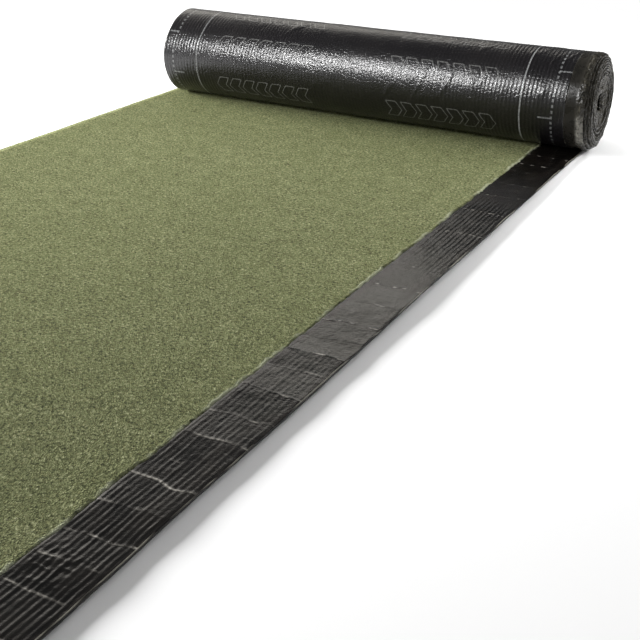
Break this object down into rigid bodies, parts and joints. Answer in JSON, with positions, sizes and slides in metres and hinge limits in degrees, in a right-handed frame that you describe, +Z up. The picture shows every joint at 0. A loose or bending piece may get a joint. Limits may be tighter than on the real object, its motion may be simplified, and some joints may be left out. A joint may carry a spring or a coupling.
{
  "type": "roll of roofing felt",
  "caption": "Partly unrolled roll of mineral-surfaced torch-on roofing felt: a flat green laid length with a bare black lap strip, and the wound turns around an open bore.",
  "frame": {"origin": "on the floor, at the middle of the whole outline seen from above", "axes": "+X along the roll's axis towards the edge with the bare lap strip, +Y along the laid length from its cut end to the roll, +Z up"},
  "size_m": [1.0286, 1.7675, 0.1949],
  "materials": {
    "green_mineral": "coarse olive-green slate granules, matt",
    "burn_off_film": "thin glossy black film, finely ribbed and creased, with grey guide lines",
    "bitumen_edge": "cut edge of the bitumen coating, dull brown-black"
  },
  "bodies": {
    "root": {"roofing_felt": "green_mineral"}
  },
  "joints": []
}
